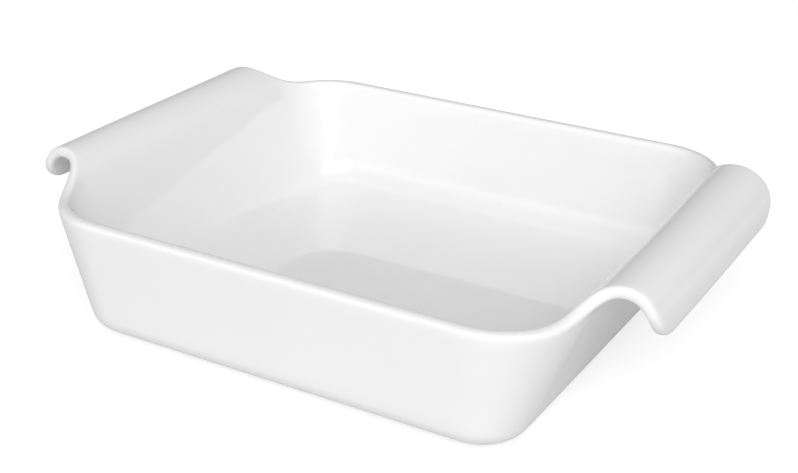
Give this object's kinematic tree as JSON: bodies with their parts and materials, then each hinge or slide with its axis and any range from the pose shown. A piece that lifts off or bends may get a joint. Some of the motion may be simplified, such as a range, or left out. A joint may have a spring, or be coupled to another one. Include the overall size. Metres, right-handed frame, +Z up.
{
  "type": "lasagna dish",
  "caption": "Deep rectangular ceramic baking dish with rounded corners, its end walls rising and rolling over outward as full-width handles.",
  "frame": {"origin": "centre of the dish's outline, at the height of the surface that it stands on", "axes": "+X along the dish towards the right-hand handle, +Y across it towards the far long wall, +Z up out of the mouth"},
  "size_m": [0.3642, 0.2584, 0.083],
  "materials": {
    "white_glaze": "gloss",
    "bare_foot": "matte"
  },
  "bodies": {
    "root": {"tub": "white_glaze", "left_handle": "white_glaze", "right_handle": "white_glaze", "foot_ring": "bare_foot"}
  },
  "joints": []
}
